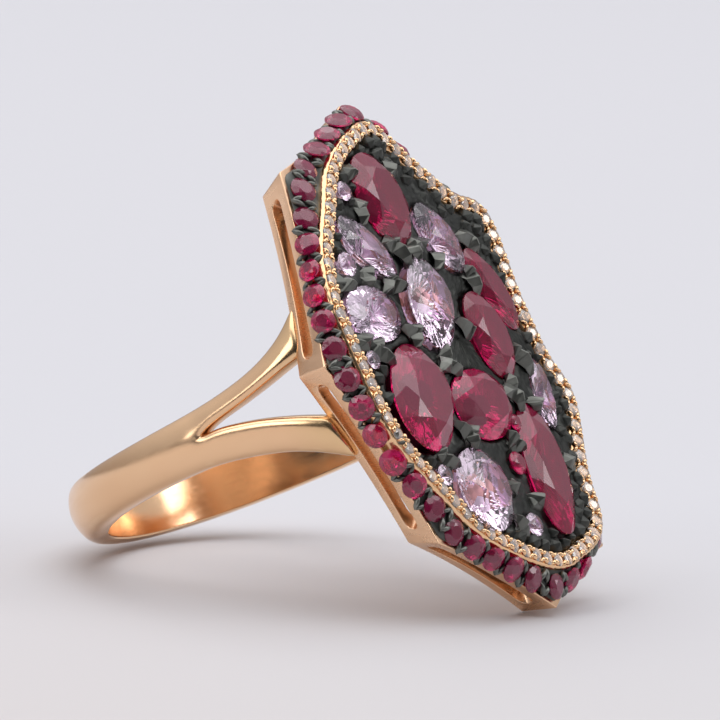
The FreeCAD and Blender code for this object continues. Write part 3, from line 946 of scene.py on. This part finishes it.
def main_stones():
    for name, gem in GEMS.items():
        length, width = gem["size"]
        cut = brilliant(length / 2, width / 2, 0.13 * width + 0.12,
                        min(0.34 * width + 0.15, DEEPEST_PAVILION),
                        0.6 if "ruby" in name else 0.52, 0.8, girdle=0.04,
                        point=gem.get("point", 0.0), tiers=True)
        place = gem_matrix(gem)
        heap = Heap()
        heap.add(*cut, place)
        finish = RUBY if "ruby" in name else SAPPHIRE
        make_piece(name + "_cut", heap.points, heap.faces, finish,
                   [name], smooth=False)


def accent_stones():
    for name, spots, finish, slot in (
            ("accent_sapphires", SMALL_SAPPHIRES, SAPPHIRE, "pink_sapphire"),
            ("accent_rubies", SMALL_RUBIES, RUBY, "ruby")):
        heap = Heap()
        for (u, v), size in spots:
            place = Matrix.Translation((u, v, PLATE_W + 0.36)) @ Matrix.Rotation(u, 4, "Z")
            heap.add(*brilliant(size / 2, size / 2, size * 0.2, size * 0.4), place)
        make_piece(name + "_cut", heap.points, heap.faces, finish, [name], smooth=False)


def gem_distance(u, v):
    """How far a place is outside the nearest main stone's edge, roughly, in mm."""
    best = 9.0
    for gem in GEMS.values():
        d = Vector((u, v)) - Vector(gem["at"])
        d.rotate(Matrix.Rotation(-math.radians(gem["turn"]), 2))
        a, b = gem["size"][0] / 2, gem["size"][1] / 2
        r = math.hypot(d.x / a, d.y / b)
        best = min(best, (r - 1) * min(a, b))
    for spot, size in SMALL_SAPPHIRES + SMALL_RUBIES:
        best = min(best, math.dist(spot, (u, v)) - size / 2)
    return best


def gem_over(u, v):
    """Name of the stone over a place, if there is a main stone or a small sapphire."""
    for name, gem in GEMS.items():
        d = Matrix.Rotation(-math.radians(gem["turn"]), 2) @ (Vector((u, v)) - Vector(gem["at"]))
        if math.hypot(d.x * 2 / gem["size"][0], d.y * 2 / gem["size"][1]) < 0.93:
            return name
    for spot, size in SMALL_SAPPHIRES:
        if math.dist(spot, (u, v)) < size * 0.46:
            return "small_sapphire"
    return ""


def plate():
    """Blackened plate under the stones, raised between them and sunk under each."""
    rng = random.Random(3)
    edge = offset_loop(smooth_loop(CHANNEL_LINE, 304), 0.25)
    rings = 72
    points = []
    for r in range(rings):
        t = 1 - (r / rings) ** 1.05
        for p in edge:
            q = p * t
            away = gem_distance(q.x, q.y)
            lift = 0.26 * min(1.0, max(0.0, (away + 0.1) / 0.25))
            lift -= 0.62 * min(1.0, max(0.0, -away / 0.5))
            if away > 0:
                lift += rng.uniform(-0.035, 0.035)
            lift -= 0.3 * max(0.0, 1 - r / 5)
            points.append((q.x, q.y, PLATE_W - 0.02 + lift))
    top = len(points)
    points.append((0, 0, PLATE_W - 0.02))
    faces = grid_faces(rings, len(edge))
    n = len(edge)
    last = (rings - 1) * n
    faces += [(last + i, last + (i + 1) % n, top) for i in range(n)]
    under = len(points)
    points += [(p.x, p.y, PLATE_UNDER) for p in edge]
    faces += [(i, under + i, under + (i + 1) % n, (i + 1) % n) for i in range(n)]
    faces.append(tuple(under + i for i in range(n)))
    piece = make_piece("stone_bed", points, faces, PLATE_BLACK_AND_SHADE,
                       ["stone_plate"])
    fix_normals(piece)
    piece.data.materials.append(SEAT_WITH_PAINTED_GLINTS)
    piece.data.materials.append(GALLERY_GOLD)
    for face in piece.data.polygons:
        c = face.center / MM
        if c.z < RIM_W - 0.15:
            face.material_index = 2
        elif "sapphire" in gem_over(c.x, c.y):
            # Under the sapphires the bed takes the seat with painted glints and painted shade
            face.material_index = 1
    return piece


def prong(base, tip, width, height, rng):
    """Hand-cut claw: ridged, wide at its root and rounded over at its tip."""
    base = Vector(base)
    tip = Vector(tip)
    run = tip - base
    flat = run.to_2d()
    side = Vector((-flat.y, flat.x, 0)).normalized()
    points = []
    steps = 4
    for k in range(steps):
        t = k / (steps - 1)
        arch = height * math.sin(math.pi * min(1.0, t * 0.9 + 0.1))
        middle = base + run * t + Vector((0, 0, arch))
        w = lerp(width, width * 0.28, t ** 0.9) * (1.0 if t < 0.95 else 0.5)
        ridge = lerp(0.42, 0.12, t) + rng.uniform(-0.03, 0.03)
        points += [middle + side * w / 2 - Vector((0, 0, 0.12)),
                   middle + side * rng.uniform(-0.05, 0.05) + Vector((0, 0, ridge)),
                   middle - side * w / 2 - Vector((0, 0, 0.12)),
                   middle - Vector((0, 0, 0.35))]
    faces = grid_faces(steps, 4)
    faces += [(3, 2, 1, 0), tuple((steps - 1) * 4 + i for i in range(4))]
    return points, faces


def mound(spot, radius, height, rng):
    """Low pyramid with cut faces, left standing between the stones."""
    count = rng.choice((5, 6, 7))
    first = rng.uniform(0, math.tau)
    points = []
    for share, level in ((1.0, -0.12), (0.62, 0.62)):
        for k in range(count):
            a = first + math.tau * (k + rng.uniform(-0.2, 0.2)) / count
            r = radius * share * rng.uniform(0.82, 1.12)
            points.append((spot[0] + r * math.cos(a), spot[1] + r * math.sin(a),
                           PLATE_W + height * level * rng.uniform(0.85, 1.1)))
    points.append((spot[0] + rng.uniform(-0.1, 0.1), spot[1] + rng.uniform(-0.1, 0.1),
                   PLATE_W + height))
    faces = grid_faces(2, count)
    faces += [(count + k, count + (k + 1) % count, 2 * count) for k in range(count)]
    faces.append(tuple(range(count))[::-1])
    return points, faces


def near_gems(spot, count):
    found = []
    for gem in GEMS.values():
        d = Vector(spot) - Vector(gem["at"])
        turn = Matrix.Rotation(math.radians(gem["turn"]), 2)
        local = turn.inverted() @ d
        a, b = gem["size"][0] / 2, gem["size"][1] / 2
        r = math.hypot(local.x / a, local.y / b)
        edge = Vector(gem["at"]) + turn @ (local / r * 0.93)
        found.append(((edge - Vector(spot)).length, edge, gem["up"]))
    found.sort(key=lambda item: item[0])
    return [f for f in found[:count] if f[0] < 1.5]


def claws():
    """Clusters of blackened claws that grip the stones around them."""
    rng = random.Random(7)
    for name, spots in CLAW_SPOTS.items():
        heap = Heap()
        for u, v in spots:
            for _, edge, up in near_gems((u, v), 3):
                away = (edge - Vector((u, v))).normalized()
                base = Vector((u, v)) - away * 0.14
                tip = (edge.x, edge.y, up + 0.1)
                start = (base.x, base.y, PLATE_W - 0.05)
                heap.add(*prong(start, tip, rng.uniform(1.05, 1.45), rng.uniform(0.26, 0.4), rng))
            room = max(0.35, min(0.8, gem_distance(u, v) + 0.35))
            heap.add(*mound((u, v), room, rng.uniform(0.5, 0.65), rng))
        piece = make_piece(name + "_cut", heap.points, heap.faces, CLAW_BLACK,
                           [name], smooth=False)
        fix_normals(piece)
        soften(piece, 0.03, 2, 25)


def bed_cuts():
    """Cut mounds all along the inner side of the channel, where no stone is in the way."""
    rng = random.Random(19)
    heap = Heap()
    for gap, step in ((0.62, 7), (1.15, 9)):
        for spot in offset_loop(CHANNEL_LOOP, gap)[::step]:
            room = gem_distance(spot.x, spot.y)
            if room > 0.02:
                heap.add(*mound(spot, min(0.5, room + 0.22), rng.uniform(0.4, 0.6), rng))
    piece = make_piece("bed_cuts", heap.points, heap.faces, PLATE_BLACK_AND_SHADE,
                       smooth=False)
    fix_normals(piece)
    soften(piece, 0.025, 2, 25)


# ---------------------------------------------------------------- stage

def stage():
    pale, tree, shader = start_material("pale_table")
    shader.inputs["Roughness"].default_value = 0.7
    shader.inputs["Specular IOR Level"].default_value = 0.2
    where = add_node(tree, "TexCoord")
    ramps = []
    for turn, start, end in ((math.radians(-149), -0.03, 0.05),
                             (math.radians(-239), -0.05, 0.03)):
        turned = add_node(tree, "Mapping", Rotation=(0.0, 0.0, -turn))
        split = add_node(tree, "SeparateXYZ")
        ramp = add_node(tree, "MapRange", interpolation_type="SMOOTHSTEP",
                        From_Min=start, From_Max=end)
        tree.links.new(where.outputs["Object"], turned.inputs["Vector"])
        tree.links.new(turned.outputs["Vector"], split.inputs[0])
        tree.links.new(split.outputs["X"], ramp.inputs["Value"])
        ramps.append(ramp.outputs["Result"])
    # Painted shadow round the ring: the floor's colour is painted darker in front of the ring, on
    # the camera's side, with a warm pinkish painted shade on the left part of that
    near = mix_colour(tree, ramps[1], (0.595, 0.585, 0.595), (0.595, 0.557, 0.553))
    tone = mix_colour(tree, ramps[0], (0.605, 0.60, 0.63), near)
    tree.links.new(tone, shader.inputs["Base Color"])
    mesh = bpy.data.meshes.new("table_top")
    mesh.from_pydata([(-3, -3, 0), (3, -3, 0), (3, 3, 0), (-3, 3, 0)], [], [(0, 1, 2, 3)])
    mesh.materials.append(pale)
    floor = bpy.data.objects.new("table_top", mesh)
    bpy.context.collection.objects.link(floor)

    world = bpy.data.worlds.new("soft_tent")
    world.use_nodes = True
    bpy.context.scene.world = world
    back = world.node_tree.nodes["Background"]
    back.inputs["Strength"].default_value = 0.82
    sky = world.node_tree
    where = add_node(sky, "TexCoord")
    split = add_node(sky, "SeparateXYZ")
    height = add_node(sky, "ValToRGB")
    sky.links.new(where.outputs["Generated"], split.inputs[0])
    sky.links.new(split.outputs["Z"], height.inputs["Fac"])
    stops = height.color_ramp.elements
    stops[0].color = (0.42, 0.40, 0.40, 1)
    stops[1].color = (1.0, 1.0, 1.04, 1)
    stops[1].position = 0.75
    mid = stops.new(0.25)
    mid.color = (0.62, 0.62, 0.65, 1)
    open_side = add_node(sky, "VectorMath", operation="DOT_PRODUCT")
    open_side.inputs[1].default_value = (-0.85, -0.5, 0.1)
    dark = add_node(sky, "MapRange", interpolation_type="SMOOTHSTEP", From_Min=0.3,
                    From_Max=0.9, To_Min=1.0, To_Max=0.08)
    sky.links.new(where.outputs["Generated"], open_side.inputs[0])
    sky.links.new(open_side.outputs["Value"], dark.inputs["Value"])
    room = mix_colour(sky, dark.outputs["Result"], (0.0, 0.0, 0.0), height.outputs["Color"])
    path = add_node(sky, "LightPath")
    seen = mix_colour(sky, path.outputs["Is Camera Ray"], room, (1.0, 0.99, 1.03))
    sky.links.new(seen, back.inputs["Color"])
    bpy.context.scene.view_settings.view_transform = "Standard"


def soft_light(name, at, aim, size, power, colour=(1, 1, 1)):
    lamp = bpy.data.lights.new(name, "AREA")
    lamp.shape = "RECTANGLE"
    lamp.size = size[0]
    lamp.size_y = size[1]
    lamp.energy = power
    lamp.color = colour
    obj = bpy.data.objects.new(name, lamp)
    bpy.context.collection.objects.link(obj)
    obj.location = at
    obj.rotation_mode = "QUATERNION"
    obj.rotation_quaternion = (Vector(aim) - Vector(at)).to_track_quat("-Z", "Y")


def camera():
    """Long lens from the front left, level with the head."""
    cam = bpy.data.cameras.new("camera")
    cam.lens = 238.35
    cam.sensor_width = 36
    cam.clip_start = 0.01
    obj = bpy.data.objects.new("camera", cam)
    bpy.context.collection.objects.link(obj)
    right = Vector((0.52073, -0.38753, 0.76070))
    up = Vector((0.08183, 0.90959, 0.40736))
    back = right.cross(up)
    turn = Matrix((right, up, back)).transposed().to_4x4()
    at = Matrix.Translation(Vector((-167.18, -28.38, 103.96)) * MM)
    obj.matrix_world = RING_TO_FLOOR @ at @ turn
    bpy.context.scene.camera = obj


stage()
soft_light("overhead_softbox", (0.0, 0.2, 2.0), (0, 0, 0), (3.2, 3.2), 38.0)
soft_light("left_softbox", (-2.2, 0.6, 1.0), (0, 0, 0.01), (1.1, 1.1), 9.0)
soft_light("right_softbox", (1.1, -2.2, 1.6), (0, 0, 0.01), (1.1, 1.1), 11.0)
camera()
split_shank()
gallery()
border()
border_setting()
channel()
channel_setting()
plate()
main_stones()
accent_stones()
claws()
bed_cuts()
